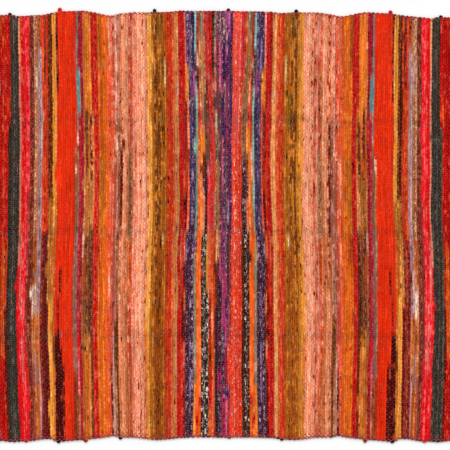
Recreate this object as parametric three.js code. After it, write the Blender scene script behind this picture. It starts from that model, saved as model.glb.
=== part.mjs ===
// A handwoven rag rug lying flat: cotton strips laid side by side across a thin warp,
// each strip a raised rib that turns back at the selvedge into the next one.
// Millimetres, +Z up. X runs along the warp, Y along the strips, and the floor is Z = 0.
import * as THREE from 'three';

const rugLength = 1700;
const stripCount = 284;
const ribTop = 6; // crown of a strip above the floor
const grooveTop = 4.7; // bottom of the groove between two strips
const turnBulge = 1.5; // a turning strip stands out from the mean selvedge by this much
const shoulderShare = 0.6; // how far the two strips of a loose turn follow it out
const footInset = 2.5; // edge of the underside, in from the selvedge
const stripsPerFoot = 4; // strips between two points of that edge
const restLength = 1640; // one clear flat rectangle under the middle
const restWidth = 1140;
const stripPitch = rugLength / stripCount;

// Mean selvedges, by distance out from the middle of the length: far is +Y, near is -Y.
// The far one runs in further towards the right end, +X.
const selvedge = [
  { out: 0, farLeft: 602, farRight: 602, near: 598 },
  { out: 70, farLeft: 602, farRight: 601, near: 597 },
  { out: 125, farLeft: 603, farRight: 600, near: 599 },
  { out: 150, farLeft: 600, farRight: 596, near: 602 },
  { out: 190, farLeft: 598, farRight: 598, near: 605 },
  { out: 215, farLeft: 598, farRight: 598, near: 603 },
  { out: 255, farLeft: 599, farRight: 598, near: 598 },
  { out: 300, farLeft: 594, farRight: 592, near: 598 },
  { out: 320, farLeft: 588, farRight: 587, near: 593 },
  { out: 340, farLeft: 592, farRight: 588, near: 597 },
  { out: 365, farLeft: 598, farRight: 594, near: 600 },
  { out: 395, farLeft: 603, farRight: 599, near: 603 },
  { out: 455, farLeft: 601, farRight: 595, near: 609 },
  { out: 472, farLeft: 599, farRight: 593, near: 611 },
  { out: 488, farLeft: 596, farRight: 591, near: 602 },
  { out: 510, farLeft: 591, farRight: 588, near: 602 },
  { out: 550, farLeft: 589, farRight: 584, near: 608 },
  { out: 580, farLeft: 587, farRight: 581, near: 609 },
  { out: 600, farLeft: 592, farRight: 586, near: 611 },
  { out: 635, farLeft: 590, farRight: 583, near: 607 },
  { out: 700, farLeft: 594, farRight: 589, near: 602 },
  { out: 770, farLeft: 598, farRight: 595, near: 598 },
  { out: 850, farLeft: 596, farRight: 596, near: 599 },
];

// Turns left loose at the selvedge: place along the rug, and how far each stands out.
const looseTurns = [
  { side: 'far', along: -602, reach: 5 },
  { side: 'far', along: -461, reach: 11 },
  { side: 'far', along: -204, reach: 10 },
  { side: 'far', along: 0, reach: 7 },
  { side: 'far', along: 197, reach: 8 },
  { side: 'far', along: 461, reach: 9 },
  { side: 'far', along: 605, reach: 4 },
  { side: 'near', along: -568, reach: 3 },
  { side: 'near', along: -469, reach: 3 },
  { side: 'near', along: -404, reach: 8 },
  { side: 'near', along: -298, reach: 5 },
  { side: 'near', along: 3, reach: 3 },
  { side: 'near', along: 154, reach: 4 },
  { side: 'near', along: 395, reach: 9 },
  { side: 'near', along: 467, reach: 3 },
  { side: 'near', along: 563, reach: 4 },
];

// Places across the rug where a strip is set. The first and last are the selvedges themselves.
const stations = [
  { name: 'farEdge' },
  { name: 'farBand', across: 423 },
  { name: 'upper', across: 211 },
  { name: 'middle', across: 28 },
  { name: 'belowMiddle', across: -70 },
  { name: 'lower', across: -296 },
  { name: 'nearEdge' },
];

// How far the strips swing outwards along the warp, by distance out from the middle of the length.
const swing = [
  { out: 0, farEdge: 0, farBand: 0, upper: 0, middle: 0, belowMiddle: 0, lower: 0, nearEdge: 0 },
  { out: 40, farEdge: 5.5, farBand: 2.5, upper: -3, middle: -3, belowMiddle: -1.5, lower: -2.5, nearEdge: -2.5 },
  { out: 95, farEdge: 6.5, farBand: 2, upper: -1, middle: 0, belowMiddle: 7.5, lower: 7.5, nearEdge: 9.5 },
  { out: 125, farEdge: 4.5, farBand: 1.5, upper: -2.5, middle: -2.5, belowMiddle: 4, lower: 4, nearEdge: 6 },
  { out: 220, farEdge: 1, farBand: -0.5, upper: -3.5, middle: -3.5, belowMiddle: 0.5, lower: 4, nearEdge: 0.5 },
  { out: 345, farEdge: 2, farBand: 0, upper: -3.5, middle: -2, belowMiddle: 1, lower: 1.5, nearEdge: -4.5 },
  { out: 465, farEdge: 4, farBand: 3, upper: 2, middle: 1.5, belowMiddle: 6.5, lower: 9.5, nearEdge: 2.5 },
  { out: 575, farEdge: 4, farBand: 1.5, upper: 0, middle: 1, belowMiddle: 5, lower: 9.5, nearEdge: -2 },
  { out: 850, farEdge: 0, farBand: 0, upper: 0, middle: 0, belowMiddle: 0, lower: 0, nearEdge: 0 },
];

// A column of a table at a distance out, on a straight line between its rows.
function readColumn(rows, out, column) {
  const reached = Math.min(out, rows.at(-1).out);
  const upper = Math.max(rows.findIndex((row) => row.out >= reached), 1);
  const before = rows[upper - 1];
  const after = rows[upper];
  const share = THREE.MathUtils.inverseLerp(before.out, after.out, reached);
  return THREE.MathUtils.lerp(before[column], after[column], share);
}

function farColumn(along) {
  return along < 0 ? 'farLeft' : 'farRight';
}

// Strips 0 and 1 turn into each other at the far selvedge, strips 1 and 2 at the near one, and so on.
function isTurn(gap, side) {
  const oddGap = gap % 2 === 1;
  return side === 'far' ? oddGap : !oddGap;
}

function reachByGap(side) {
  const reach = new Map();
  for (const turn of looseTurns.filter((entry) => entry.side === side)) {
    const nearest = Math.round(turn.along / stripPitch + stripCount / 2);
    reach.set(isTurn(nearest, side) ? nearest : nearest + 1, turn.reach);
  }
  return reach;
}

const looseReach = { far: reachByGap('far'), near: reachByGap('near') };

// How far a line ends outside the mean selvedge. Even lines are the gaps between strips, odd ones crowns.
function endOffset(line, side) {
  const isGap = line % 2 === 0;
  if (isGap) {
    const gap = line / 2;
    const isEnd = gap === 0 || gap === stripCount;
    if (isEnd) return 0;
    return isTurn(gap, side) ? turnBulge + (looseReach[side].get(gap) ?? 0) : -turnBulge;
  }
  const gapBefore = (line - 1) / 2;
  const turnGap = isTurn(gapBefore, side) ? gapBefore : gapBefore + 1;
  return shoulderShare * (looseReach[side].get(turnGap) ?? 0);
}

// One line of the upper face, from the far selvedge to the near one.
function linePoints(line) {
  const along = (line / 2 - stripCount / 2) * stripPitch;
  const out = Math.abs(along);
  const height = line % 2 === 0 ? grooveTop : ribTop;
  const ends = {
    farEdge: readColumn(selvedge, out, farColumn(along)) + endOffset(line, 'far'),
    nearEdge: -readColumn(selvedge, out, 'near') - endOffset(line, 'near'),
  };
  return stations.map(({ name, across }) => new THREE.Vector3(
    along + Math.sign(along) * readColumn(swing, out, name),
    across ?? ends[name],
    height,
  ));
}

class FacetedBody {
  constructor() {
    this.positions = [];
    this.triangles = [];
  }

  point(vector) {
    this.positions.push(vector.x, vector.y, vector.z);
    return this.positions.length / 3 - 1;
  }

  // Two neighbouring rows of points, joined by a band of triangles.
  band(row, next) {
    for (let step = 0; step + 1 < row.length; step += 1) {
      this.triangles.push(row[step], row[step + 1], next[step]);
      this.triangles.push(next[step], row[step + 1], next[step + 1]);
    }
  }

  // A chain of many points, brought down to two points below its ends.
  skirt(chain, start, end) {
    const middle = Math.floor(chain.length / 2);
    for (let step = 0; step + 1 < chain.length; step += 1) {
      const foot = step < middle ? start : end;
      this.triangles.push(chain[step], chain[step + 1], foot);
    }
    this.triangles.push(start, chain[middle], end);
  }

  geometry() {
    const geometry = new THREE.BufferGeometry();
    geometry.setAttribute('position', new THREE.Float32BufferAttribute(this.positions, 3));
    geometry.setIndex(this.triangles);
    return geometry;
  }
}

function rugGeometry() {
  const body = new FacetedBody();
  const lineCount = 2 * stripCount + 1;
  const lastStation = stations.length - 1;

  // Upper face: a row of points for each crown and each gap.
  const rows = [];
  for (let line = 0; line < lineCount; line += 1) {
    rows.push(linePoints(line).map((vector) => body.point(vector)));
  }
  for (let line = 0; line + 1 < lineCount; line += 1) {
    body.band(rows[line], rows[line + 1]);
  }

  // Edge of the underside, on the floor just inside each selvedge.
  const linesPerFoot = 2 * stripsPerFoot;
  const farFeet = [];
  const nearFeet = [];
  for (let line = 0; line < lineCount; line += linesPerFoot) {
    const along = (line / 2 - stripCount / 2) * stripPitch;
    const far = readColumn(selvedge, Math.abs(along), farColumn(along)) - footInset;
    const near = footInset - readColumn(selvedge, Math.abs(along), 'near');
    farFeet.push(body.point(new THREE.Vector3(along, far, 0)));
    nearFeet.push(body.point(new THREE.Vector3(along, near, 0)));
  }

  // Selvedge walls, from the ends of the strips down to the floor.
  for (let foot = 0; foot + 1 < farFeet.length; foot += 1) {
    const bay = rows.slice(foot * linesPerFoot, (foot + 1) * linesPerFoot + 1);
    const farChain = bay.map((row) => row[0]);
    const nearChain = bay.map((row) => row[lastStation]).reverse();
    body.skirt(farChain, farFeet[foot], farFeet[foot + 1]);
    body.skirt(nearChain, nearFeet[foot + 1], nearFeet[foot]);
  }

  // Plain ends, across the first and the last line.
  const firstRow = [...rows[0]].reverse();
  body.skirt(firstRow, nearFeet[0], farFeet[0]);
  body.skirt(rows[lineCount - 1], farFeet.at(-1), nearFeet.at(-1));

  // Underside: a flat rectangle, and a border from it out to the edge.
  const corner = (along, across) => body.point(new THREE.Vector3(along, across, 0));
  const farLeft = corner(-restLength / 2, restWidth / 2);
  const farRight = corner(restLength / 2, restWidth / 2);
  const nearLeft = corner(-restLength / 2, -restWidth / 2);
  const nearRight = corner(restLength / 2, -restWidth / 2);
  body.skirt(farFeet, farLeft, farRight);
  body.skirt([...nearFeet].reverse(), nearRight, nearLeft);
  body.skirt([nearFeet[0], farFeet[0]], nearLeft, farLeft);
  body.skirt([farFeet.at(-1), nearFeet.at(-1)], farRight, nearRight);
  body.band([nearLeft, farLeft], [nearRight, farRight]);

  // The two selvedges reach out unequally, so the whole is centred on its own box.
  const geometry = body.geometry();
  geometry.computeBoundingBox();
  const { min, max } = geometry.boundingBox;
  geometry.translate(0, -(min.y + max.y) / 2, 0);
  geometry.computeVertexNormals();
  return geometry;
}

const ragCotton = new THREE.MeshStandardMaterial({ color: 0xb5482c, roughness: 0.95, metalness: 0 });

const wovenRug = new THREE.Mesh(rugGeometry(), ragCotton);
wovenRug.name = 'woven_rug';

const rug = new THREE.Group();
rug.add(wovenRug);

export default rug;
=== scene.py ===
import math
import bpy
import numpy as np
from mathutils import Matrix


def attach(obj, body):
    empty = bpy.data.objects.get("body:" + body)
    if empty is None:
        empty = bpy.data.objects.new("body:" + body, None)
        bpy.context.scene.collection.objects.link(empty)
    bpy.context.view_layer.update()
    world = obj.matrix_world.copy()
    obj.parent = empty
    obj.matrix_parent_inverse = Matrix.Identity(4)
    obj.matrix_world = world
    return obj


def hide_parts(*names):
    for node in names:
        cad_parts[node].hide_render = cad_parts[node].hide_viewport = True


# A handwoven rag rug: torn cotton strips laid to and fro across a thin cotton warp.
# X runs along the warp, Y along the strips, and the floor is Z = 0, in metres.

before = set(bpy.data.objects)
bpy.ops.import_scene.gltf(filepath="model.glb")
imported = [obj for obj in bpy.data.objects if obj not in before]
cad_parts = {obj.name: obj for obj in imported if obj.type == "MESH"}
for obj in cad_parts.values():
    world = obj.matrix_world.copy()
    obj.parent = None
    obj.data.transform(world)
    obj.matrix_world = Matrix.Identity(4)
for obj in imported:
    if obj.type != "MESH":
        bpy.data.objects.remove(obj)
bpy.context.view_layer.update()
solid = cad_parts["woven_rug"]
print("frame loaded,", len(solid.data.polygons), "triangles in the solid")


def linear(hexCode):  # sRGB hex to linear
    parts = np.array([int(hexCode[i:i + 2], 16) / 255 for i in (0, 2, 4)])
    return np.where(parts <= 0.04045, parts / 12.92, ((parts + 0.055) / 1.055) ** 2.4)


def addNode(tree, kind, settings=None, inputs=None):  # one node with its settings, then its values and links
    node = tree.nodes.new(kind)
    for name, value in (settings or {}).items():
        setattr(node, name, value)
    for socket, value in (inputs or {}).items():
        if isinstance(value, bpy.types.NodeSocket):
            tree.links.new(value, node.inputs[socket])
        else:
            node.inputs[socket].default_value = value
    return node


# Rags by the weaver's name for them: ground colour, then print colour and its share, then fleck colour
# and its share. A rag with a ground colour alone is plain cloth, a little lighter and darker along it.
rags = {
    "aqua": ("7FA6AA",),
    "bark": ("8A3C22", "A85836", 0.3, "642212", 0.12),
    "barkMaroon": ("6A241C", "AC5842", 0.3, "3A1210", 0.17),
    "barkRed": ("A03430", "D0504A", 0.3, "641E1C", 0.15),
    "bottleGreen": ("312C26", "5C564A", 0.26, "1A1412", 0.22),
    "brick": ("AE3418", "CC5230", 0.3, "6A160A", 0.2),
    "brickBrown": ("983422", "B85438", 0.3, "6E1A10", 0.15),
    "brightRed": ("C23020", "D65430", 0.33, "92180F", 0.16),
    "brownDash": ("A85C3A", "DE9474", 0.35, "743218", 0.2),
    "brownTan": ("A05A38", "C88860", 0.3, "70341A", 0.15),
    "burntOrange": ("BC5C2C", "D88654", 0.3, "7A3616", 0.17),
    "chestnut": ("723812", "C07232", 0.4, "3E1C08", 0.2),
    "coral": ("EA6044", "F88C68", 0.3, "B04430", 0.12),
    "coralDash": ("C8503A", "EA9276", 0.3, "822A22", 0.18),
    "coralOrange": ("DC6034", "F08C54", 0.3, "96381E", 0.14),
    "coralRed": ("D25440", "EA7C60", 0.3, "8E2E28", 0.15),
    "cream": ("CC9C84", "E2C4AE", 0.4, "A06450", 0.12),
    "crimson": ("D82428", "EC5A52", 0.22, "B8161A", 0.12),
    "darkBark": ("501A0C", "AC6032", 0.27, "300E08", 0.18),
    "darkBrown": ("582418", "9A5A3A", 0.32, "301210", 0.2),
    "darkMaroon": ("480F10", "A83E2C", 0.27, "220608", 0.2),
    "darkOlive": ("6E4A38", "A86C54", 0.3, "46241E", 0.18),
    "darkPeach": ("7A3418", "E09058", 0.45, "3A140A", 0.3),
    "deepRed": ("C2201E", "D84C3C", 0.22, "88100F", 0.16),
    "fleckedRed": ("E43E26", "FFBCA8", 0.14, "BE2E22", 0.12),
    "gold": ("E49242", "F2B060", 0.28, "A6581E", 0.15),
    "goldBrown": ("AE6828", "CC863A", 0.3, "7A3E10", 0.15),
    "goldFleck": ("B2662C", "DC924A", 0.3, "66280A", 0.24),
    "goldOlive": ("B08454", "C8A070", 0.3, "84603C", 0.12),
    "goldOrange": ("BC7A42",),
    "goldTan": ("B46C34", "DC9450", 0.3, "6C3210", 0.2),
    "heather": ("56384A", "D0949A", 0.26, "281A26", 0.24),
    "hotOrange": ("EE6030", "F87A46", 0.3, "D24C22", 0.12),
    "indigo": ("3A2C52", "C094A0", 0.2, "20162C", 0.22),
    "ink": ("2C1C1E", "46302F", 0.3, "1A1012", 0.15),
    "inkBrown": ("4E2018", "9A5444", 0.35, "280E0C", 0.16),
    "inkPrint": ("2C1B18", "E4CEBE", 0.16, "5A3020", 0.22),
    "inkPurple": ("3A2450", "CC6482", 0.24, "22142A", 0.22),
    "lilac": ("6E5482", "A68CAA", 0.3, "38264A", 0.28),
    "magenta": ("AA4480", "C46A9C", 0.3, "6A2850", 0.12),
    "magentaRose": ("A83A62", "D66E84", 0.28, "4E1C3C", 0.26),
    "marigold": ("E27C3A", "F4964C", 0.3, "A8542C", 0.1),
    "maroon": ("621410", "B03A20", 0.28, "3A0806", 0.2),
    "maroonSlit": ("62190E", "C07858", 0.25, "3A0A06", 0.16),
    "mauve": ("A27476", "C49A98", 0.35, "70464A", 0.12),
    "mauveBrown": ("945038", "AC6850", 0.3, "6A3020", 0.12),
    "mauvePink": ("B4746C", "CC9488", 0.3, "7E4440", 0.12),
    "mossPrint": ("4E3C3A", "B49686", 0.28, "7A2438", 0.28),
    "navyBlack": ("3A1E24", "BC8C8C", 0.18, "1C1016", 0.2),
    "nightBlue": ("332E4C", "8A7084", 0.25, "1C1830", 0.18),
    "ochre": ("D87230", "EC8E48", 0.3, "B0501A", 0.15),
    "ochreBrown": ("A65A20", "C87E38", 0.3, "5C2808", 0.24),
    "olive": ("9A643A", "AC8050", 0.3, "6E4426", 0.12),
    "oliveBrown": ("B05A20", "C87030", 0.3, "8A3C10", 0.12),
    "oliveDark": ("74501A", "967030", 0.35, "4E300C", 0.15),
    "oliveTan": ("9A6848", "CE9C6E", 0.3, "8A3A2C", 0.3),
    "orange": ("D05C1E", "E47632", 0.3, "B43E14", 0.14),
    "orangeCoral": ("E85E30", "F48250", 0.3, "D24A1C", 0.12),
    "orangeRed": ("C4461C", "DC6832", 0.3, "741C0E", 0.2),
    "orangeTan": ("C05C2A", "DC824A", 0.3, "8C3C16", 0.17),
    "orchid": ("4E2446", "C25878", 0.27, "2C1226", 0.2),
    "oxblood": ("B41E1C", "D8503A", 0.25, "8A0E0E", 0.15),
    "paleGold": ("CCA468", "E0C890", 0.4, "9A6830", 0.1),
    "paleMauve": ("B08C8A", "CEB2AC", 0.4, "8A5C5A", 0.12),
    "palePeach": ("EA7858", "F2A484", 0.35, "D85234", 0.14),
    "palePink": ("D8645E", "F49088", 0.3, "94343A", 0.18),
    "peach": ("EA8C66", "F6AC86", 0.3, "AA5238", 0.17),
    "peachEdge": ("D46C40", "EC9460", 0.3, "A83820", 0.15),
    "peachLine": ("BA5C34", "DC8450", 0.35, "7A2410", 0.15),
    "peachTan": ("C66C48", "E8926A", 0.3, "984024", 0.2),
    "peachTape": ("E8905F", "F4A678", 0.3, "C07048", 0.1),
    "pinkCoral": ("EA5446", "FA9A8C", 0.2, "C03A34", 0.1),
    "pinkLine": ("CA4E52", "EA848A", 0.35, "9C2E36", 0.12),
    "plum": ("661A1A", "B04836", 0.32, "380C10", 0.18),
    "plumInk": ("3E1E32", "C49AAA", 0.19, "1E0E18", 0.22),
    "plumRose": ("541A38", "C63A66", 0.36, "240E1C", 0.2),
    "redMaroon": ("94180E", "C83020", 0.3, "660602", 0.2),
    "redTan": ("C45030", "DA7248", 0.3, "A02C16", 0.16),
    "redTaupe": ("B45444", "D88068", 0.3, "86342A", 0.16),
    "roseBit": ("D08870", "F0B8A0", 0.4, "A04C40", 0.12),
    "rosePink": ("D0403E", "E86C64", 0.3, "94282C", 0.15),
    "roseRed": ("E02E34", "F4585A", 0.28, "C01C22", 0.12),
    "roseTape": ("D87A62", "E8947C", 0.3, "A05442", 0.12),
    "rust": ("B44A26", "D27850", 0.3, "742410", 0.18),
    "rustBrown": ("9C4C1A", "C27030", 0.32, "5E2408", 0.24),
    "rustDark": ("7E3818", "B86430", 0.3, "4A1808", 0.15),
    "rustTan": ("C67044", "DE8E60", 0.3, "A44C22", 0.16),
    "sage": ("8C8470", "AEA890", 0.35, "56504A", 0.15),
    "sageDark": ("80745C", "9A8C70", 0.3, "5E4C3C", 0.12),
    "salmon": ("EE906C", "F6AA88", 0.3, "BC5A44", 0.33),
    "salmonPale": ("F09A78", "F8B292", 0.3, "C46A52", 0.3),
    "salmonPink": ("DE785C", "F09A7E", 0.3, "B04A3C", 0.33),
    "scarlet": ("DE3622", "E6442A", 0.3, "CC2C1A", 0.1),
    "seaGreen": ("7AA090", "98B4A4", 0.3, "5C7468", 0.12),
    "slate": ("7C706C", "988A84", 0.3, "5E4A46", 0.12),
    "slateMauve": ("86504C", "9E6C66", 0.3, "642E2E", 0.14),
    "slateTan": ("92604E", "AC8068", 0.3, "683C32", 0.12),
    "tan": ("CE7C4A", "E09A62", 0.3, "A64E28", 0.15),
    "tanBrown": ("AA5A3C", "C47858", 0.3, "7E3824", 0.12),
    "tanFleck": ("AC6444", "E0AC84", 0.3, "7A2E1C", 0.2),
    "tanMottle": ("9A6640", "D89462", 0.3, "582E26", 0.24),
    "tanOrange": ("C8682E", "DE8446", 0.3, "98441A", 0.15),
    "tanPeach": ("CC744C", "E89A70", 0.3, "944428", 0.15),
    "taupe": ("AC6656", "D89484", 0.32, "7C382C", 0.18),
    "taupePale": ("BC7E6C", "E0AA98", 0.35, "844A3C", 0.15),
    "teal": ("5A8280", "749A96", 0.3, "46605E", 0.1),
    "umber": ("5C2C16", "8E542C", 0.28, "34140A", 0.2),
    "wineRed": ("A82430", "C25048", 0.25, "800E18", 0.15),
    "wineRose": ("9C3048", "BC5868", 0.3, "641828", 0.15),
}

# Cloth with a small print, which shows as fine confetti once it is torn.
smallPrints = ("barkMaroon", "bottleGreen", "darkBark", "darkBrown", "darkOlive", "fleckedRed",
               "goldFleck", "heather", "indigo", "inkBrown", "inkPrint", "inkPurple", "lilac",
               "magentaRose", "mossPrint", "navyBlack", "nightBlue", "oliveTan", "orchid", "pinkCoral",
               "plum", "plumInk", "plumRose", "tanFleck", "tanMottle", "umber", "wineRose")

# Closely woven plain cloth, which keeps an even colour when it is torn.
evenCloth = ("crimson", "gold", "hotOrange", "oxblood", "roseRed", "scarlet")

# The weaver's order from the middle of the rug outwards: how many strips, then the rags spliced along each
# strip with the place of each splice, in millimetres from the far selvedge.
stripeOrder = [
    (1, "heather 80 inkPurple 190 heather 300 inkPurple 345 heather 620 inkPurple 740 magentaRose 905 "
        "plumInk 955 plumRose 1000 plumInk 1080 plumRose"),
    (1, "heather 110 inkPurple 200 orchid 245 inkPurple 360 magentaRose 505 orchid 720 magentaRose 890 "
        "plumInk 1070 wineRose"),
    (1, "heather 75 magentaRose 235 mossPrint 400 heather 560 orchid 690 magentaRose 745 plumInk 990 "
        "plumRose 1060 plumInk"),
    (1, "mossPrint 70 magentaRose 135 mossPrint 340 taupe 400 plumInk 430 oliveTan 620 tanMottle 690 "
        "plumInk 890 plumRose 960 plumInk 1000 plumRose 1070 plumInk"),
    (1, "mossPrint 75 taupe 185 redTaupe 235 mossPrint 290 cream 335 mossPrint 430 oliveTan 620 "
        "tanMottle 700 barkMaroon 830 ink"),
    (1, "inkBrown 190 redTaupe 235 inkBrown 340 rust 420 brick 505 oliveTan 620 brick 830 brickBrown 940 "
        "brownDash 1140 brickBrown"),
    (1, "deepRed 300 rosePink 620 orangeRed 840 coral 910 orangeRed 1000 coral"),
    (1, "rosePink 620 coralRed 800 deepRed 930 brick 1050 deepRed 1120 orangeRed"),
    (1, "rosePink 190 barkMaroon 270 darkOlive 420 pinkLine 470 rosePink 620 goldOrange 780 inkPrint"),
    (1, "rust 130 oliveTan 240 darkOlive 430 navyBlack 620 inkPrint"),
    (1, "sage 70 tanMottle 240 oliveTan 330 marigold 410 barkMaroon 460 navyBlack 520 tanPeach 612 "
        "inkPrint"),
    (1, "darkOlive 60 brownTan 150 rust 200 peachTan 270 rosePink 330 marigold 475 coralOrange 620 "
        "hotOrange 1075 wineRed 1100 hotOrange"),
    (1, "brickBrown 130 cream 150 navyBlack 215 coralDash 275 brick 310 rust 390 palePeach 480 "
        "coralOrange 620 hotOrange 1110 deepRed 1180 hotOrange"),
    (1, "aqua 110 navyBlack 205 seaGreen 410 sage 480 seaGreen 560 sage 620 goldOlive 690 sageDark 930 "
        "sage 975 cream 1015 sageDark 1055 marigold"),
    (1, "nightBlue 155 magenta 225 nightBlue 620 indigo 700 plumInk"),
    (1, "indigo 440 lilac 480 indigo 555 lilac 580 indigo 640 plumInk 800 lilac 835 plumInk 935 "
        "lilac 965 plumInk 1015 lilac 1090 plumInk"),
    (1, "indigo 85 lilac 180 indigo 300 lilac 345 indigo 640 plumInk"),
    (1, "indigo 160 marigold 260 coralRed 620 plumInk 650 lilac 690 plumInk"),
    (1, "palePink 150 marigold 260 barkMaroon 400 brick 500 maroon 620 coralOrange 700 maroon 780 "
        "coralOrange 845 maroon 925 coral 985 maroon"),
    (1, "deepRed 430 brick 520 deepRed 800 maroon 940 deepRed"),
    (1, "deepRed 620 coralRed 725 brightRed 830 deepRed"),
    (1, "deepRed"),
    (1, "tan 38 cream 47 tan 213 cream 236 tan"),
    (1, "tan"),
    (1, "redTan"),
    (2, "brightRed"),
    (1, "orangeRed"),
    (1, "ochreBrown 135 paleGold 195 ochreBrown"),
    (1, "ochreBrown 620 paleGold 670 rustBrown"),
    (1, "ochreBrown 230 oliveDark 320 chestnut 420 ochreBrown 620 rustBrown"),
    (1, "oliveDark 80 ochreBrown 130 chestnut 470 ochreBrown 520 chestnut 620 rustBrown"),
    (1, "chestnut 810 rustBrown"),
    (1, "chestnut 690 rustBrown"),
    (1, "chestnut 75 goldBrown 615 chestnut 690 goldBrown"),
    (1, "gold"),
    (1, "gold 900 tanOrange"),
    (1, "salmon"),
    (2, "salmonPale 900 salmon"),
    (2, "salmon"),
    (2, "salmonPink"),
    (1, "salmonPink 120 coralDash 375 oliveTan 640 brick 760 salmonPink 850 redTan"),
    (1, "coralDash 135 peachTan 400 oliveTan 620 rustTan 790 coralDash 960 peachTan"),
    (1, "peach 400 tanPeach 620 peachTan 790 rustTan"),
    (1, "peach 625 tanPeach 790 peach"),
    (1, "salmon 720 peach"),
    (1, "salmon 300 maroonSlit 615 brownDash 810 peach 1000 tanPeach"),
    (1, "salmonPink 110 tanPeach 290 brownDash 620 brownTan 850 umber"),
    (1, "taupePale 400 taupe 860 umber 1000 brownTan"),
    (1, "coralDash 415 redTaupe 900 mauvePink"),
    (1, "coral 620 coralRed 985 maroonSlit"),
    (1, "palePeach 150 coral 400 palePeach 560 coral 700 palePeach 790 coral"),
    (1, "orangeCoral"),
    (1, "orange"),
    (1, "orange 400 oliveBrown 560 orange"),
    (1, "orange 390 oliveBrown 620 orangeRed 690 orange"),
    (1, "oliveBrown 165 orange 400 oliveBrown 620 orangeRed 700 orange"),
    (2, "deepRed"),
    (1, "deepRed 275 peachLine 470 tan 620 darkBrown"),
    (1, "ochre 300 darkPeach 470 brownDash 620 darkBrown 905 tanOrange"),
    (1, "ochre 300 peachLine 470 goldFleck 620 darkBrown 900 goldTan 960 tanOrange"),
    (1, "ochre 270 darkBrown 460 goldFleck 620 darkBrown 680 rust 800 darkBrown 900 goldTan 965 tanOrange"),
    (1, "peachEdge 300 rust 470 tanPeach 620 roseBit 685 brownDash 950 rust"),
    (1, "wineRed"),
    (1, "wineRed 175 teal 275 wineRed 905 crimson 985 pinkLine 1085 tanBrown"),
    (1, "slate 175 teal 275 roseBit 305 slate 345 roseBit 380 mauveBrown 500 slateMauve 1020 bark"),
    (1, "scarlet 400 roseBit 460 olive 620 slateTan 1020 brickBrown"),
    (4, "scarlet"),
    (1, "scarlet 985 darkMaroon"),
    (1, "scarlet 720 darkMaroon 790 scarlet 945 darkMaroon"),
    (1, "scarlet 800 redMaroon 905 darkMaroon"),
    (1, "darkMaroon 245 scarlet 905 darkMaroon"),
    (1, "gold 515 goldFleck 620 orangeTan 910 rustDark 1000 tanOrange"),
    (1, "gold 515 goldFleck 620 orangeTan 800 gold"),
    (1, "darkBark 515 goldFleck 620 goldTan 800 gold"),
    (1, "darkBark 515 goldFleck 620 goldTan 820 plum"),
    (1, "brightRed 620 plum"),
    (1, "plum 200 brick 620 plum"),
    (1, "brightRed 620 plum"),
    (1, "brick 90 mauve 300 paleMauve 415 mauve 840 rustTan 1000 mauvePink"),
    (1, "tanFleck 90 mauve 840 burntOrange 950 tanFleck 1050 burntOrange"),
    (1, "tanFleck 150 cream 220 tanFleck 620 burntOrange 770 cream 850 burntOrange 930 mauvePink 1040 "
        "orangeTan"),
    (1, "tanFleck 620 burntOrange 770 cream 840 burntOrange 1000 redTaupe"),
    (2, "barkMaroon"),
    (1, "roseRed 500 barkRed 980 crimson"),
    (1, "roseRed"),
    (1, "crimson 620 roseRed 800 palePink 1010 crimson"),
    (1, "crimson 620 palePink 800 roseRed 1010 crimson"),
    (1, "peachTape 135 roseTape 690 crimson"),
    (4, "bottleGreen"),
    (1, "oxblood 300 bottleGreen"),
    (1, "oxblood 240 orangeRed 290 oxblood 640 brick 810 maroon"),
    (2, "oxblood 640 orangeRed 965 oxblood"),
    (1, "orangeRed 65 oxblood"),
    (2, "oxblood"), (3, "orange"), (4, "ochre"), (3, "deepRed"), (6, "salmon"), (1, "rust"),
    (3, "peach"), (2, "gold"), (3, "chestnut"), (3, "indigo"), (2, "hotOrange"), (4, "scarlet"),
]

# On the +X side the first strips from the middle differ, and from the tenth on both sides are alike.
middleOrder = [
    (1, "magenta 40 heather 95 inkPurple 190 magentaRose 400 heather 740 magentaRose 815 "
        "inkPurple 870 magentaRose 945 wineRose 1045 inkPurple 1090 wineRose"),
    (1, "magenta 70 inkPurple 190 heather 330 orchid 545 lilac 595 orchid 815 inkPurple 940 "
        "fleckedRed 1060 wineRose"),
    (1, "inkPurple 120 heather 175 inkPurple 620 barkMaroon 880 fleckedRed"),
    (4, "pinkCoral 380 fleckedRed"),
    (1, "rosePink 180 fleckedRed"),
    (1, "rosePink 185 tanMottle 430 navyBlack 620 darkBrown"),
]

# Loose turns that show another rag at the selvedge, by their place along X in millimetres.
looseDyes = {
    "far": {-602: "ink", -204: "ink", -124: "maroon", 8: "plum", 126: "maroon", 197: "ink", 461: "roseRed",
            605: "ink"},
    "near": {-604: "ink", -588: "ink", -540: "ink", -509: "plum", -469: "ink", -404: "wineRed", -297: "ink",
             4: "ink", 154: "ink", 296: "ink", 399: "wineRed", 466: "ink", 504: "ink", 536: "ink", 583: "ink",
             599: "ink"},
}

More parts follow.
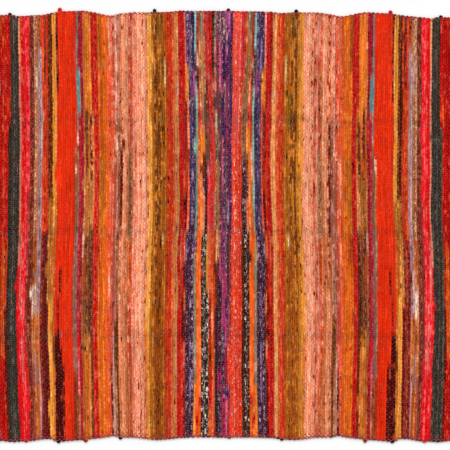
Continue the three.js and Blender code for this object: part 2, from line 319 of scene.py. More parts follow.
weavePlan = {
    "strips": 284,
    "warps": 205,
    "rugLength": 1.7,  # m, along the warp
    "spliceSlip": 12,  # mm by which a splice may miss its place
    "spliceGirth": 0.1,  # how much thicker a strip is at a splice, and mm over which it is
    "spliceReach": 8,
    "fade": 0.13,  # how much one length of rag differs in value from the next
    "fadeLimit": 1.6,  # most that it may differ, in steps of that size
    "evenShare": 0.4,  # share of the fading, the painted light and shade of small folds, and the lint that shows on even cloth
    "drift": 0.08,  # how much the value changes along a strip
    "plainPrint": (1.25, 0.35, 0.6, 0.1),  # plain cloth: its lighter places, then its darker ones
    "printDepth": 1.3,  # how far print and slivers stand off from the ground colour
    "sliverDepth": 1.7,
    "dyeRange": (0.004, 0.95),  # darkest and lightest dye
    "printRange": (0.3, 1.7),  # least and most print on one length of rag, against its usual share
    "sliverShare": 0.8,
    "noiseSpread": 0.2,  # how far the marks' noise strays, and how much less in small prints
    "noiseCalm": 0.06,
    "strays": 1,  # places along each strip where a neighbouring rag shows
    "strayMargin": (4, 12),  # warp threads that they keep from the selvedges
    "strayRun": (2, 8),  # warp threads that one of them passes
    "taper": (0.1, 0.24, 0.32, 0.24, 0.1),  # how torn ends blend over neighbouring crossings
    "slack": 0.15,  # how much a strip thins where it was laid loosely, so that a dark slit opens
    "slackLimit": 2.5,  # most that it may thin, in steps of that size
    "bulk": 0.05,  # how much one strip differs in girth from the next
    "stripSway": 0.0004,  # m, sideways wander of each strip, of neighbours together, and of the warp
    "groupSway": 0.0007,
    "warpSway": 0.0003,
    "calmStrips": 8,  # strips over which the wander dies away at the ends
    "smoothing": 6,  # warp threads over which the swing of the solid's ribs is smoothed
    "foldLines": (300, 616, 909),  # soft creases where the rug was folded, mm from the far selvedge
    "foldWidth": 5,
    "foldPinch": 0.2,
    "creasePaintedShade": 0.12,  # how much darker the colour is painted along a crease, painted shade in the fold
    "warpPinch": 0.98,  # girth of a strip where a warp thread crosses over it
    "turnInset": 0.0022,  # m, centre line of a turn, in from the outside of its loop
    "turnShape": ((0.05, 0.66), (0.4, 0.93), (1, 1)),  # half a loop: shares of the way to its middle and out
    "turnGirth": 0.8,
    "turnPaintedShade": 0.6,  # value of the turns against the rest of the strip: painted shade on the loops at the selvedges
    "turnLift": 0.5,  # share of the crimp that a turn begins and ends with
    "looseReach": 6.5,  # mm within which a turn takes the rag of a loose turn
    "crowding": 0.6,  # how much closer the outermost warp threads lie, and how many threads in that ends
    "crowdReach": 2.5,
    "farBunch": (4.2, 3.0),  # girths of the doubled threads at each selvedge, outermost first
    "nearBunch": (5.0, 4.8, 3.6),
    "warpDip": 0.8,  # share of the crimp that a warp thread dips by, and a doubled one
    "bunchDip": 0.55,
    "warpLoop": 0.0022,  # m, reach of the warp's loops past the last strip
    "seed": 23,
}
dyeLayers = ("ground", "print", "fleck")
toTheEnd = 9999.0  # mm, past the near selvedge


def softNoise(rng, shape, reach):  # random values smoothed over some steps each way, spread about 1
    field = rng.standard_normal(shape)
    for axis, steps in enumerate(reach):
        if steps:
            offsets = np.arange(-3 * steps, 3 * steps + 1)
            bell = np.exp(-0.5 * (offsets / steps) ** 2)
            margins = [(3 * steps,) * 2 if other == axis else (0, 0) for other in (0, 1)]
            padded = np.pad(field, margins, mode="reflect")
            field = np.apply_along_axis(np.convolve, axis, padded, bell / np.sqrt((bell ** 2).sum()), "valid")
    return field


def readSolid(node):
    # lines of the solid's upper face: gap, crown, gap ... each from the far selvedge to the near one
    upperLevel = 0.004  # m, every corner of the upper face is above it
    selvedge = 0.55  # m, only the selvedges lie further out
    corners = np.zeros(len(node.data.vertices) * 3)
    node.data.vertices.foreach_get("co", corners)
    corners = np.unique(corners.reshape(-1, 3).round(6), axis=0)
    upper = corners[corners[:, 2] > upperLevel]
    across = np.where(upper[:, 1] > selvedge, 1, np.where(upper[:, 1] < -selvedge, -1, upper[:, 1]))
    rows = [upper[across == place] for place in np.unique(across)[::-1]]
    return np.stack([row[np.argsort(row[:, 0]), :2] for row in rows], axis=1)


def layGrid(lines, plan):  # where each strip crosses each warp thread, both counted from the far left corner
    rng = np.random.default_rng(plan["seed"])
    strips, warps = plan["strips"], plan["warps"]
    crowns = lines[1::2]
    ends = np.stack([crowns[:, 0, 1], crowns[:, -1, 1]], axis=1)
    padded = np.pad(ends, [(2, 2), (0, 0)], mode="edge")
    ends = np.median([padded[i:i + strips] for i in range(5)], axis=0)  # loose turns left out
    inset = np.minimum(np.arange(warps), np.arange(warps)[::-1]) + 0.5
    inset *= (1 - plan["crowding"] * np.exp(-(inset / plan["crowdReach"]) ** 2)) / warps
    share = np.where(np.arange(warps) < warps / 2, inset, 1 - inset)
    y = ends[:, :1] + share * (ends[:, 1:] - ends[:, :1])
    x = np.array([np.interp(-y[k], -crowns[k, :, 1], crowns[k, :, 0]) for k in range(strips)])
    steps = plan["smoothing"]
    bell = np.exp(-0.5 * (np.arange(-3 * steps, 3 * steps + 1) / steps) ** 2)
    padded = np.pad(x, [(0, 0), (3 * steps, 3 * steps)], mode="reflect", reflect_type="odd")
    x = np.apply_along_axis(np.convolve, 1, padded, bell / bell.sum(), "valid")
    fromEnd = np.minimum(np.arange(strips), np.arange(strips)[::-1])[:, None]
    sway = plan["stripSway"] * softNoise(rng, x.shape, (0, 5))
    sway += plan["groupSway"] * softNoise(rng, x.shape, (3, 9))
    x += sway * np.minimum(fromEnd / plan["calmStrips"], 1)
    y += plan["warpSway"] * softNoise(rng, y.shape, (4, 0))
    return x, y


def readOrder(order):  # one list of (rag, place where it ends) for each strip
    rows = []
    for count, text in order:
        words = text.split()
        places = [float(word) for word in words[1::2]] + [toTheEnd]
        rows += [list(zip(words[0::2], places))] * count
    return rows


def dyeStrips(y, plan):  # colours and shares of each strip at each crossing
    rng = np.random.default_rng(plan["seed"] + 1)
    outward = readOrder(stripeOrder)
    right = readOrder(middleOrder)
    right += outward[len(right):]
    rows = outward[::-1] + right
    lighter, lighterShare, darker, darkerShare = plan["plainPrint"]
    dyes = {}
    for name, rag in rags.items():
        ground = linear(rag[0])
        if len(rag) == 1:
            dyes[name] = (ground, ground * lighter, lighterShare, ground * darker, darkerShare)
        else:
            dyes[name] = (ground, linear(rag[1]), rag[2], linear(rag[3]), rag[4])
    shape = y.shape
    cloth = {name: np.ones(shape + (4,)) for name in dyeLayers}
    cloth["shares"] = np.zeros(shape + (3,))
    cloth["girth"] = np.ones(shape)
    for k, row in enumerate(rows):
        alongStrip = 1000 * (y[k, 0] - y[k])
        bulk = 1 + plan["bulk"] * rng.standard_normal()
        start = -99.0  # mm, before the far selvedge
        for name, place in row:
            stop = place + rng.uniform(-1, 1) * plan["spliceSlip"]
            here = (alongStrip >= start) & (alongStrip < stop)
            ground, printed, printShare, fleck, fleckShare = dyes[name]
            fadeAndShadeShown = plan["evenShare"] if name in evenCloth else 1
            limit = plan["fadeLimit"]
            fade = 1 + plan["fade"] * np.clip(rng.standard_normal(), -limit, limit) * fadeAndShadeShown
            for key, dye, depth in (("ground", ground, 1), ("print", printed, plan["printDepth"]),
                                    ("fleck", fleck, plan["sliverDepth"])):
                cloth[key][k, here, :3] = np.clip(ground + depth * (dye - ground), *plan["dyeRange"]) * fade
            cloth["ground"][k, here, 3] = fadeAndShadeShown
            more = rng.uniform(*plan["printRange"])
            slivers = plan["sliverShare"] * fleckShare * (2 - more)
            cloth["shares"][k, here] = (printShare * more, slivers, name in smallPrints)
            cloth["girth"][k, here] = bulk
            if place < toTheEnd:  # two rag ends lie together at a splice
                bulge = np.exp(-0.5 * ((alongStrip - stop) / plan["spliceReach"]) ** 2)
                cloth["girth"][k] += plan["spliceGirth"] * bulge
            start = stop
        for place in plan["foldLines"]:
            crease = np.exp(-0.5 * ((alongStrip - place) / plan["foldWidth"]) ** 2)
            cloth["girth"][k] *= 1 - plan["foldPinch"] * crease
            # painted shade along each crease: the colours are darkened there
            for key in dyeLayers:
                cloth[key][k, :, :3] *= 1 - plan["creasePaintedShade"] * crease[:, None]
    plain = {key: cloth[key].copy() for key in dyeLayers + ("shares",)}
    farMargin, nearMargin = plan["strayMargin"]
    for k in range(1, shape[0] - 1):
        for start in rng.integers(farMargin, shape[1] - nearMargin, plan["strays"]):
            run = slice(start, start + rng.integers(*plan["strayRun"]))
            beside = k + rng.choice((-1, 1))
            for key in plain:
                cloth[key][k, run] = plain[key][beside, run]
    drift = 1 + plan["drift"] * softNoise(rng, shape, (0, 4))
    for key in plain:  # torn ends taper into one another
        padded = np.pad(cloth[key], [(0, 0), (2, 2), (0, 0)], mode="edge")
        cloth[key] = sum(weight * padded[:, i:i + shape[1]] for i, weight in enumerate(plan["taper"]))
    for key in dyeLayers:
        cloth[key][..., :3] *= drift[..., None]
    cloth["girth"] *= 1 - plan["slack"] * np.clip(softNoise(rng, shape, (0, 3)), 0, plan["slackLimit"])
    return cloth


lines = readSolid(solid)
crossX, crossY = layGrid(lines, weavePlan)
cloth = dyeStrips(crossY, weavePlan)
stripNo, warpNo = np.meshgrid(np.arange(weavePlan["strips"]), np.arange(weavePlan["warps"]), indexing="ij")
over = np.where((stripNo + warpNo) % 2 == 0, 1.0, -1.0)  # plain weave: over every second warp thread
spacing = np.gradient(crossX, axis=0) / (weavePlan["rugLength"] / weavePlan["strips"])
cloth["girth"] *= spacing * np.where(over > 0, 1.0, weavePlan["warpPinch"])
print("grid laid,", crossX.size, "crossings")


multiply = {"operation": "MULTIPLY"}
multiplyAdd = {"operation": "MULTIPLY_ADD"}
colours = {"data_type": "RGBA"}


def interlaceTree():
    # a strand of any section that follows its plan line, rising and dipping at each crossing
    tree = bpy.data.node_groups.new("interlace", "GeometryNodeTree")
    tree.interface.new_socket("Plan", in_out="INPUT", socket_type="NodeSocketGeometry")
    for name in ("Level", "Crimp", "Half width", "Half thickness", "Section turn", "Pucker", "Ruffle"):
        tree.interface.new_socket(name, in_out="INPUT", socket_type="NodeSocketFloat")
    for name in ("Sides", "Seed"):
        tree.interface.new_socket(name, in_out="INPUT", socket_type="NodeSocketInt")
    tree.interface.new_socket("Material", in_out="INPUT", socket_type="NodeSocketMaterial")
    tree.interface.new_socket("Strand", in_out="OUTPUT", socket_type="NodeSocketGeometry")
    given = addNode(tree, "NodeGroupInput").outputs
    line = addNode(tree, "GeometryNodeMeshToCurve", inputs={"Mesh": given["Plan"]})
    level = addNode(tree, "GeometryNodeSetCurveNormal", {"mode": "Z_UP"}, {"Curve": line.outputs[0]})
    lift = addNode(tree, "GeometryNodeInputNamedAttribute", {"data_type": "FLOAT"}, {"Name": "lift"})
    girth = addNode(tree, "GeometryNodeInputNamedAttribute", {"data_type": "FLOAT"}, {"Name": "girth"})
    ruffle = addNode(tree, "FunctionNodeRandomValue", {"data_type": "FLOAT"},
                     {2: -1.0, 3: 1.0, "Seed": given["Seed"]})
    crimped = addNode(tree, "ShaderNodeMath", multiplyAdd,
                      {0: lift.outputs[0], 1: given["Crimp"], 2: given["Level"]})
    height = addNode(tree, "ShaderNodeMath", multiplyAdd,
                     {0: ruffle.outputs[1], 1: given["Ruffle"], 2: crimped.outputs[0]})
    rise = addNode(tree, "ShaderNodeCombineXYZ", inputs={"Z": height.outputs[0]})
    laid = addNode(tree, "GeometryNodeSetPosition",
                   inputs={"Geometry": level.outputs[0], "Offset": rise.outputs[0]})
    seedPucker = addNode(tree, "ShaderNodeMath", {"operation": "ADD"}, {0: given["Seed"], 1: 7.0})
    pucker = addNode(tree, "FunctionNodeRandomValue", {"data_type": "FLOAT"},
                     {2: -1.0, 3: 1.0, "Seed": seedPucker.outputs[0]})
    puckered = addNode(tree, "ShaderNodeMath", multiplyAdd,
                       {0: pucker.outputs[1], 1: given["Pucker"], 2: 1.0})
    scale = addNode(tree, "ShaderNodeMath", multiply, {0: puckered.outputs[0], 1: girth.outputs[0]})
    ring = addNode(tree, "GeometryNodeCurvePrimitiveCircle", inputs={"Resolution": given["Sides"], 4: 1.0})
    corner = addNode(tree, "GeometryNodeInputIndex")
    marked = addNode(tree, "GeometryNodeStoreNamedAttribute", {"data_type": "FLOAT", "domain": "POINT"},
                     {"Geometry": ring.outputs[0], "Name": "side", "Value": corner.outputs[0]})
    angle = addNode(tree, "ShaderNodeCombineXYZ", inputs={"Z": given["Section turn"]})
    turned = addNode(tree, "GeometryNodeTransform",
                     inputs={"Geometry": marked.outputs[0], "Rotation": angle.outputs[0]})
    size = addNode(tree, "ShaderNodeCombineXYZ",
                   inputs={"X": given["Half width"], "Y": given["Half thickness"], "Z": 1.0})
    section = addNode(tree, "GeometryNodeTransform",
                      inputs={"Geometry": turned.outputs[0], "Scale": size.outputs[0]})
    swept = addNode(tree, "GeometryNodeCurveToMesh",
                    inputs={"Curve": laid.outputs[0], "Profile Curve": section.outputs[0],
                            "Scale": scale.outputs[0], "Fill Caps": True})
    smooth = addNode(tree, "GeometryNodeSetShadeSmooth", inputs={"Geometry": swept.outputs[0]})
    real = addNode(tree, "GeometryNodeRealizeInstances", inputs={"Geometry": smooth.outputs[0]})
    dressed = addNode(tree, "GeometryNodeSetMaterial",
                      inputs={"Geometry": real.outputs[0], "Material": given["Material"]})
    addNode(tree, "NodeGroupOutput", inputs={"Strand": dressed.outputs[0]})
    return tree


ragLook = {
    "dash": 0.024,  # m, length of a patch of print that shows
    "sliver": 0.026,  # m, length of a sliver of the fleck colour
    "patch": 0.015,  # m, length of a patch of small prints, which breaks into fine marks
    "stripStep": 3.71,  # how far the noise moves on from strip to strip, so that no two are alike
    "hueLength": 0.011,  # m, between changes of hue in small prints, and how far the hue goes
    "hueShift": 0.05,
    "rumpleShadeLength": 0.0055,  # m, between lighter and darker places, painted light and shade of small folds in the rag, and how much lighter and darker they are
    "rumpleShadeDepth": 0.31,
    "lintLength": 0.006,  # m, between linty places, and how much greyer they are
    "lintDepth": 0.13,
    "richness": 1.025,
    "crossingPaintedShade": 0.07,  # painted light and shade of each strip's bulges: how much lighter it is painted at each crossing, and darker between two
    "crease": 0.0011,  # m, between lengthwise creases of the rag, and their length and depth
    "creaseLength": 0.009,
    "creaseDepth": 0.0006,
    "creaseStrength": 0.5,
    "roughness": 0.92,
    "shine": 0.02,
}


def tornCotton(look):
    # torn printed cotton rag, packed on the loom: matt, creased lengthwise, its print broken into dashes
    material = bpy.data.materials.new("torn cotton rag")
    material.use_nodes = True
    tree = material.node_tree
    shader = tree.nodes["Principled BSDF"]
    place = addNode(tree, "ShaderNodeTexCoord").outputs["Object"]
    xyz = addNode(tree, "ShaderNodeSeparateXYZ", inputs={0: place})
    read = {name: addNode(tree, "ShaderNodeAttribute", {"attribute_name": name})
            for name in ("ground", "print", "fleck", "shares", "strand", "side", "step")}
    ground = read["ground"].outputs
    shares = addNode(tree, "ShaderNodeSeparateXYZ", inputs={0: read["shares"].outputs["Vector"]}).outputs
    strand = addNode(tree, "ShaderNodeMath", multiply,
                     {0: read["strand"].outputs["Fac"], 1: look["stripStep"]})

    def streaks(length, across, shift, detail=2.0, roughness=0.6):
        # noise drawn out along each strip, a fresh one on each side of it, and shifted off the other patterns
        side = addNode(tree, "ShaderNodeMath", multiplyAdd,
                       {0: read["side"].outputs["Fac"], 1: across, 2: shift})
        run = addNode(tree, "ShaderNodeMath", multiply, {0: xyz.outputs["Y"], 1: 1 / length})
        spot = addNode(tree, "ShaderNodeCombineXYZ",
                       inputs={0: strand.outputs[0], 1: run.outputs[0], 2: side.outputs[0]})
        noise = addNode(tree, "ShaderNodeTexNoise",
                        inputs={"Vector": spot.outputs[0], "Scale": 1.0, "Detail": detail,
                                "Roughness": roughness})
        return noise.outputs[0]

    crisp = addNode(tree, "ShaderNodeMath", multiplyAdd, {0: shares["Z"], 1: 2.0, 2: 1.0})
    marks = []
    for length, across, shift, share, soft in ((look["dash"], 0.32, 0.0, "X", 0.08),
                                               (look["sliver"], 0.7, 20.0, "Y", 0.06)):
        small = streaks(look["patch"], 0.9, shift + 40, 4.0, 0.8)
        noise = addNode(tree, "ShaderNodeMix", {"data_type": "FLOAT"},
                        {0: shares["Z"], 2: streaks(length, across, shift), 3: small})
        above = addNode(tree, "ShaderNodeMath", {"operation": "SUBTRACT"},
                        {0: noise.outputs[0], 1: shares[share]})
        edge = addNode(tree, "ShaderNodeMath", multiply, {0: above.outputs[0], 1: crisp.outputs[0]})
        marks.append(addNode(tree, "ShaderNodeMapRange", {"interpolation_type": "SMOOTHSTEP"},
                             {"Value": edge.outputs[0], "From Min": -soft, "From Max": soft}))
    swings = {}
    for name, shift, low in (("hue", 60.0, -look["hueShift"]), ("rumpleShade", 80.0, -look["rumpleShadeDepth"]),
                             ("lint", 100.0, look["lintDepth"])):
        noise = streaks(look[name + "Length"], 0.9, shift)
        swings[name] = addNode(tree, "ShaderNodeMapRange", inputs={
            "Value": noise, "From Min": 0.25, "From Max": 0.75, "To Min": low, "To Max": -low}).outputs[0]
    hue = addNode(tree, "ShaderNodeMath", multiplyAdd, {0: swings["hue"], 1: shares["Z"], 2: 0.5})
    inks = addNode(tree, "ShaderNodeHueSaturation",
                   inputs={"Hue": hue.outputs[0], "Color": read["print"].outputs["Color"]})
    printed = addNode(tree, "ShaderNodeMix", colours,
                      {0: marks[0].outputs[0], 6: ground["Color"], 7: inks.outputs[0]})
    flecked = addNode(tree, "ShaderNodeMix", colours,
                      {0: marks[1].outputs[0], 6: printed.outputs[2], 7: read["fleck"].outputs["Color"]})
    # painted light and shade of small folds: the value rises and falls at random along the strip
    rumpleShaded = addNode(tree, "ShaderNodeMath", multiplyAdd, {0: swings["rumpleShade"], 1: ground["Alpha"], 2: 1.0})
    # painted light and shade: lighter at each crossing and darker between two, as the strip's bulges would be
    # lit
    phase = addNode(tree, "ShaderNodeMath", multiply, {0: read["step"].outputs["Fac"], 1: 2 * math.pi})
    wave = addNode(tree, "ShaderNodeMath", {"operation": "COSINE"}, {0: phase.outputs[0]})
    crossingPaintedShade = addNode(tree, "ShaderNodeMath", multiplyAdd,
                      {0: wave.outputs[0], 1: look["crossingPaintedShade"], 2: 1.0})
    value = addNode(tree, "ShaderNodeMath", multiply, {0: rumpleShaded.outputs[0], 1: crossingPaintedShade.outputs[0]})
    faded = addNode(tree, "ShaderNodeMath", multiplyAdd,
                    {0: swings["lint"], 1: ground["Alpha"], 2: look["richness"]})
    toned = addNode(tree, "ShaderNodeHueSaturation",
                    inputs={"Saturation": faded.outputs[0], "Value": value.outputs[0],
                            "Color": flecked.outputs[2]})
    grain = addNode(tree, "ShaderNodeMapping",
                    inputs={"Vector": place,
                            "Scale": (1 / look["crease"], 1 / look["creaseLength"], 1 / look["crease"])})
    folds = addNode(tree, "ShaderNodeTexNoise",
                    inputs={"Vector": grain.outputs[0], "Scale": 1.0, "Detail": 3.0})
    bump = addNode(tree, "ShaderNodeBump",
                   inputs={"Height": folds.outputs[0], "Strength": look["creaseStrength"],
                           "Distance": look["creaseDepth"]})
    tree.links.new(toned.outputs[0], shader.inputs["Base Color"])
    tree.links.new(bump.outputs[0], shader.inputs["Normal"])
    shader.inputs["Roughness"].default_value = look["roughness"]
    shader.inputs["Specular IOR Level"].default_value = look["shine"]
    return material


twineLook = {
    "deep": "8C5A50",
    "pale": "AE7A6C",
    "selvedge": "A03C46",  # the doubled threads at the selvedges
    "twist": 0.0016,  # m, sets how far apart the ridges of the ply lie
    "twistDepth": 0.0002,
    "twistStrength": 0.4,
    "roughness": 0.88,
    "shine": 0.2,
}


def spunTwine(look):  # hard-spun cotton warp twine, dyed a dusky rose: matt, with a fine twist
    material = bpy.data.materials.new("spun cotton twine")
    material.use_nodes = True
    tree = material.node_tree
    shader = tree.nodes["Principled BSDF"]
    deep, pale, selvedge = ((*linear(look[name]), 1) for name in ("deep", "pale", "selvedge"))
    place = addNode(tree, "ShaderNodeTexCoord").outputs["Object"]
    strand = addNode(tree, "ShaderNodeAttribute", {"attribute_name": "strand"})
    tone = addNode(tree, "ShaderNodeTexWhiteNoise", {"noise_dimensions": "1D"}, {"W": strand.outputs["Fac"]})
    colour = addNode(tree, "ShaderNodeMix", colours, {0: tone.outputs[0], 6: deep, 7: pale})
    edge = addNode(tree, "ShaderNodeAttribute", {"attribute_name": "edge"})
    darker = addNode(tree, "ShaderNodeMix", colours,
                     {0: edge.outputs["Fac"], 6: colour.outputs[2], 7: selvedge})
    ply = addNode(tree, "ShaderNodeTexWave", {"bands_direction": "DIAGONAL"},
                  {"Vector": place, "Scale": 0.31 / look["twist"]})
    bump = addNode(tree, "ShaderNodeBump",
                   inputs={"Height": ply.outputs[0], "Strength": look["twistStrength"],
                           "Distance": look["twistDepth"]})
    tree.links.new(darker.outputs[2], shader.inputs["Base Color"])
    tree.links.new(bump.outputs[0], shader.inputs["Normal"])
    shader.inputs["Roughness"].default_value = look["roughness"]
    shader.inputs["Specular IOR Level"].default_value = look["shine"]
    return material


def threshold(share, spread):  # level of the noise above which that share of it lies, roughly
    return 0.5 + spread * (1 - 2 * share)


interlace = interlaceTree()
ragCotton = tornCotton(ragLook)
warpTwine = spunTwine(twineLook)

# A strip has a flattish crown and two shoulders that sink into its neighbours.
# A warp thread is a thin three-sided cord.
weftSizes = {"Level": 0.0031, "Crimp": 0.00015, "Half width": 0.0041, "Half thickness": 0.0023,
             "Section turn": math.radians(-90), "Pucker": 0.035, "Ruffle": 0.00012, "Sides": 5, "Seed": 5,
             "Material": ragCotton}
warpSizes = {"Level": 0.0031, "Crimp": 0.0024, "Half width": 0.00032, "Half thickness": 0.00032,
             "Section turn": math.radians(90), "Pucker": 0.06, "Ruffle": 0.0, "Sides": 3, "Seed": 9,
             "Material": warpTwine}


def bakeMap(mesh, sides, steps):
    # a flat strip of the map for each row of the strand, so that the finish can be baked
    capBand = 4  # steps at the top of the map, kept for the cut ends
    capPitch, capWidth, capHeight, capDrop = 6, 2, 0.8, 1.2  # places and half sizes of the cut ends there
    never = 9999.0
    count = len(mesh.vertices)
    read = {}
    for name in ("row", "step", "side"):
        read[name] = np.zeros(count, np.float32)
        mesh.attributes[name].data.foreach_get("value", read[name])
    corner = np.zeros(len(mesh.loops), np.int32)
    mesh.loops.foreach_get("vertex_index", corner)
    total = np.zeros(len(mesh.polygons), np.int32)
    mesh.polygons.foreach_get("loop_total", total)
    face = np.repeat(np.arange(len(total)), total)
    row, step, side = (read[name].round()[corner] for name in ("row", "step", "side"))
    first = np.full(len(total), never)
    np.minimum.at(first, face, row)
    last = np.full(len(total), -1.0)
    np.maximum.at(last, face, side)
    low = np.full(len(total), never)
    np.minimum.at(low, face, side)
    step = np.where(row > first[face], steps, step)
    wraps = (low[face] == 0) & (last[face] == sides - 1)
    side = np.where(wraps & (side == 0), sides, side)
    rows = read["row"].max() + 1
    lanes = rows * (sides + 1)  # the map's width and height in cells
    tall = steps + capBand
    uv = np.stack([(first[face] * (sides + 1) + side + 0.5) / lanes, (step + 0.5) / tall], axis=1)
    most = np.zeros(len(total))
    np.maximum.at(most, face, step)
    least = np.full(len(total), never)
    np.minimum.at(least, face, step)
    cap = (most == least)[face]
    capRank = np.cumsum(most == least)[face]
    turn = 2 * math.pi * side / sides
    uv[cap] = np.stack([(capRank * capPitch + capWidth * np.cos(turn)) / lanes,
                        1 + (capHeight * np.sin(turn) - capDrop) / tall], axis=1)[cap]
    layer = mesh.uv_layers.new(name="OFBake")
    layer.data.foreach_set("uv", uv.astype(np.float32).ravel())


def weave(name, plan, sizes, steps):  # a plain mesh of strands from plan points, with the tree's result kept
    count = len(plan["xy"])
    mesh = bpy.data.meshes.new(name)
    mesh.vertices.add(count)
    mesh.vertices.foreach_set("co", np.column_stack([plan["xy"], np.zeros(count)]).astype(np.float32).ravel())
    mesh.edges.add(count - 1)
    pairs = np.column_stack([np.arange(count - 1), np.arange(1, count)])
    mesh.edges.foreach_set("vertices", pairs.astype(np.int32).ravel())
    for key, values in plan.items():
        if key == "xy":
            continue
        width = 1 if values.ndim == 1 else values.shape[1]
        kinds = {1: ("FLOAT", "value"), 3: ("FLOAT_VECTOR", "vector"), 4: ("FLOAT_COLOR", "color")}
        kind, slot = kinds[width]
        mesh.attributes.new(key, kind, "POINT").data.foreach_set(slot, values.astype(np.float32).ravel())
    piece = bpy.data.objects.new(name, mesh)
    bpy.context.scene.collection.objects.link(piece)
    modifier = piece.modifiers.new("interlace", "NODES")
    modifier.node_group = interlace
    items = interlace.interface.items_tree
    sockets = {item.name: item.identifier for item in items if item.in_out == "INPUT"}
    for key, value in sizes.items():
        modifier[sockets[key]] = value
    depsgraph = bpy.context.evaluated_depsgraph_get()
    woven = bpy.data.meshes.new_from_object(piece.evaluated_get(depsgraph), preserve_all_data_layers=True,
                                            depsgraph=depsgraph)
    piece.modifiers.clear()
    piece.data = woven
    bpy.data.meshes.remove(mesh)
    woven.name = name
    bakeMap(woven, sizes["Sides"], steps)
    print(name, "woven,", sum(len(face.vertices) - 2 for face in woven.polygons), "triangles")
    return piece


def weftPlan(first, last):  # one run of rag, to and fro, over strips first to last
    gaps = lines[0::2]
    finalWarp = weavePlan["warps"] - 1
    dyed = dyeLayers + ("shares",)
    runs = {key: [] for key in ("xy", "lift", "girth", "strand", "row", "step") + dyed}
    for k in range(first, last + 1):
        order = np.arange(finalWarp, -1, -1) if k % 2 == 0 else np.arange(finalWarp + 1)
        runs["xy"].append(np.column_stack([crossX[k, order], crossY[k, order]]))
        runs["lift"].append(over[k, order])
        runs["girth"].append(cloth["girth"][k, order])
        for key in dyed:
            runs[key].append(cloth[key][k, order])
        turn = 0
        if k + 1 < weavePlan["strips"]:
            turn = 2 * len(weavePlan["turnShape"]) - 1
            end = order[-1]
            edge = 0 if end == 0 else -1
            outward = 1 if end == 0 else -1
            apex = gaps[k + 1, edge, 1] - outward * weavePlan["turnInset"]
            here = np.array([crossX[k, end], crossY[k, end]])
            there = np.array([crossX[k + 1, end], crossY[k + 1, end]])
            middle = (here[0] + there[0]) / 2
            legs = []
            for foot in (here, there):
                reach = (middle - foot[0], apex - foot[1])
                legs.append([foot + np.array(share) * reach for share in weavePlan["turnShape"]])
            runs["xy"].append(np.array(legs[0] + legs[1][-2::-1]))
            lift = weavePlan["turnLift"]
            runs["lift"].append(np.linspace(lift, -lift, turn) * over[k, end])
            runs["girth"].append(np.full(turn, weavePlan["turnGirth"]))
            turned = {key: cloth[key][k, end].copy() for key in dyed}
            loose = looseDyes["far" if end == 0 else "near"]
            place = min(loose, key=lambda spot: abs(spot - 1000 * middle))
            if abs(place - 1000 * middle) < weavePlan["looseReach"]:
                rag = rags[loose[place]]
                for key, dye in zip(dyeLayers, (rag[0], rag[1], rag[3])):
                    turned[key][:3] = linear(dye)
            # painted shade on the turn loops: their colours are darkened
            for key in dyeLayers:
                turned[key][:3] *= weavePlan["turnPaintedShade"]
            for key in dyed:
                runs[key].append(np.repeat(turned[key][None], turn, axis=0))
        length = len(order) + turn
        runs["strand"].append(np.full(length, float(k)))
        runs["row"].append(np.full(length, float(k - first)))
        runs["step"].append(np.arange(length, dtype=float))
    plan = {key: np.concatenate(parts) for key, parts in runs.items()}
    spread = weavePlan["noiseSpread"] - weavePlan["noiseCalm"] * plan["shares"][:, 2]
    plan["shares"][:, 0] = threshold(plan["shares"][:, 0], spread)
    plan["shares"][:, 1] = threshold(plan["shares"][:, 1], spread)
    return plan


def warpPlan(first, last):  # one run of twine, to and fro, along warps first to last
    finalStrip = weavePlan["strips"] - 1
    finalWarp = weavePlan["warps"] - 1
    runs = {key: [] for key in ("xy", "lift", "girth", "edge", "strand", "row", "step")}
    for j in range(first, last + 1):
        order = np.arange(finalStrip + 1) if (j - first) % 2 == 0 else np.arange(finalStrip, -1, -1)
        points = np.column_stack([crossX[order, j], crossY[order, j]])
        fromEdge, bunch = min((j, weavePlan["farBunch"]), (finalWarp - j, weavePlan["nearBunch"]))
        doubled = fromEdge < len(bunch)
        girth = bunch[fromEdge] if doubled else 1.0
        dip = weavePlan["bunchDip"] if doubled else weavePlan["warpDip"]
        lift = np.where(over[order, j] > 0, -dip, 1.0)
        if j < last:
            outward = 1 if order[-1] else -1
            end = order[-1]
            middle = (crossY[end, j] + crossY[end, j + 1]) / 2
            points = np.vstack([points, (crossX[end, j] + outward * weavePlan["warpLoop"], middle)])
            lift = np.append(lift, 0.0)
        runs["xy"].append(points)
        runs["lift"].append(lift)
        runs["girth"].append(np.full(len(points), girth))
        runs["edge"].append(np.full(len(points), min(girth - 1.0, 1.0)))
        runs["strand"].append(np.full(len(points), float(j)))
        runs["row"].append(np.full(len(points), float(j - first)))
        runs["step"].append(np.arange(len(points), dtype=float))
    return {key: np.concatenate(parts) for key, parts in runs.items()}


weftSteps = weavePlan["warps"] + 2 * len(weavePlan["turnShape"]) - 1
warpSteps = weavePlan["strips"] + 1
wefts = [weave(name, weftPlan(first, last), weftSizes, weftSteps)
         for name, first, last in (("weft_left", 0, 94), ("weft_middle", 95, 189), ("weft_right", 190, 283))]
warps = [weave(name, warpPlan(first, last), warpSizes, warpSteps)
         for name, first, last in (("warp_far", 0, 102), ("warp_near", 103, 204))]

for piece in wefts + warps:
    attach(piece, "root")
    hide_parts("woven_rug")

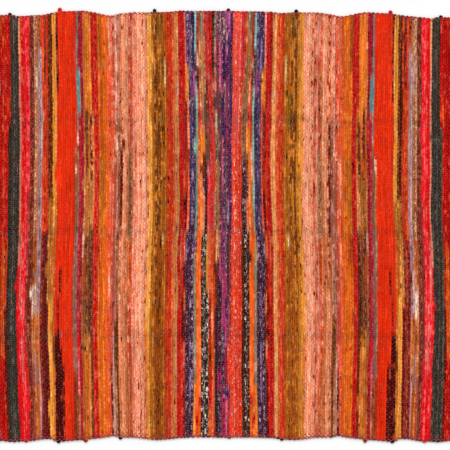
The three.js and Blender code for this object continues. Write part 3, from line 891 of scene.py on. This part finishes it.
studio = {
    "sky": 0.75,
    "key": 1.8,
    "keyTilt": 50,
    "keySoftness": 35,
    "lens": 85,
    "sensor": 36,
    "viewWidth": 1.269,  # m, seen at the level of the rug's upper side
    "viewLevel": 0.005,
    "viewCentre": (-0.0011, 0.00105),
    "floorTone": "F3F3F3",
    "floorReach": 30,  # m, far enough to fill a low view
    "floorLevel": -0.0002,
}


def setStage(look):  # white floor, even white light and a softer one from the far side, camera straight above
    scene = bpy.context.scene
    mesh = bpy.data.meshes.new("floor")
    reach = look["floorReach"]
    corners = [(reach * x, reach * y, look["floorLevel"]) for x, y in ((-1, -1), (1, -1), (1, 1), (-1, 1))]
    mesh.from_pydata(corners, [], [(0, 1, 2, 3)])
    floor = bpy.data.objects.new("floor", mesh)
    scene.collection.objects.link(floor)
    paint = bpy.data.materials.new("white paper sweep")  # matt paper, no shine
    paint.use_nodes = True
    paper = paint.node_tree.nodes["Principled BSDF"].inputs
    paper["Base Color"].default_value = (*linear(look["floorTone"]), 1)
    paper["Roughness"].default_value = 1.0
    paper["Specular IOR Level"].default_value = 0.0
    mesh.materials.append(paint)
    world = bpy.data.worlds.new("studio")
    world.use_nodes = True
    world.node_tree.nodes["Background"].inputs["Color"].default_value = (1, 1, 1, 1)
    world.node_tree.nodes["Background"].inputs["Strength"].default_value = look["sky"]
    scene.world = world
    key = bpy.data.lights.new("key", "SUN")
    key.energy = look["key"]
    key.angle = math.radians(look["keySoftness"])
    keyObject = bpy.data.objects.new("key", key)
    keyObject.rotation_euler = (math.radians(-look["keyTilt"]), 0, 0)
    scene.collection.objects.link(keyObject)
    camera = bpy.data.cameras.new("camera")
    camera.lens = look["lens"]
    camera.sensor_width = look["sensor"]
    cameraObject = bpy.data.objects.new("camera", camera)
    distance = look["viewWidth"] * look["lens"] / look["sensor"]
    cameraObject.location = (*look["viewCentre"], distance + look["viewLevel"])
    scene.collection.objects.link(cameraObject)
    scene.camera = cameraObject
    scene.view_settings.view_transform = "Standard"


setStage(studio)
print("stage set")
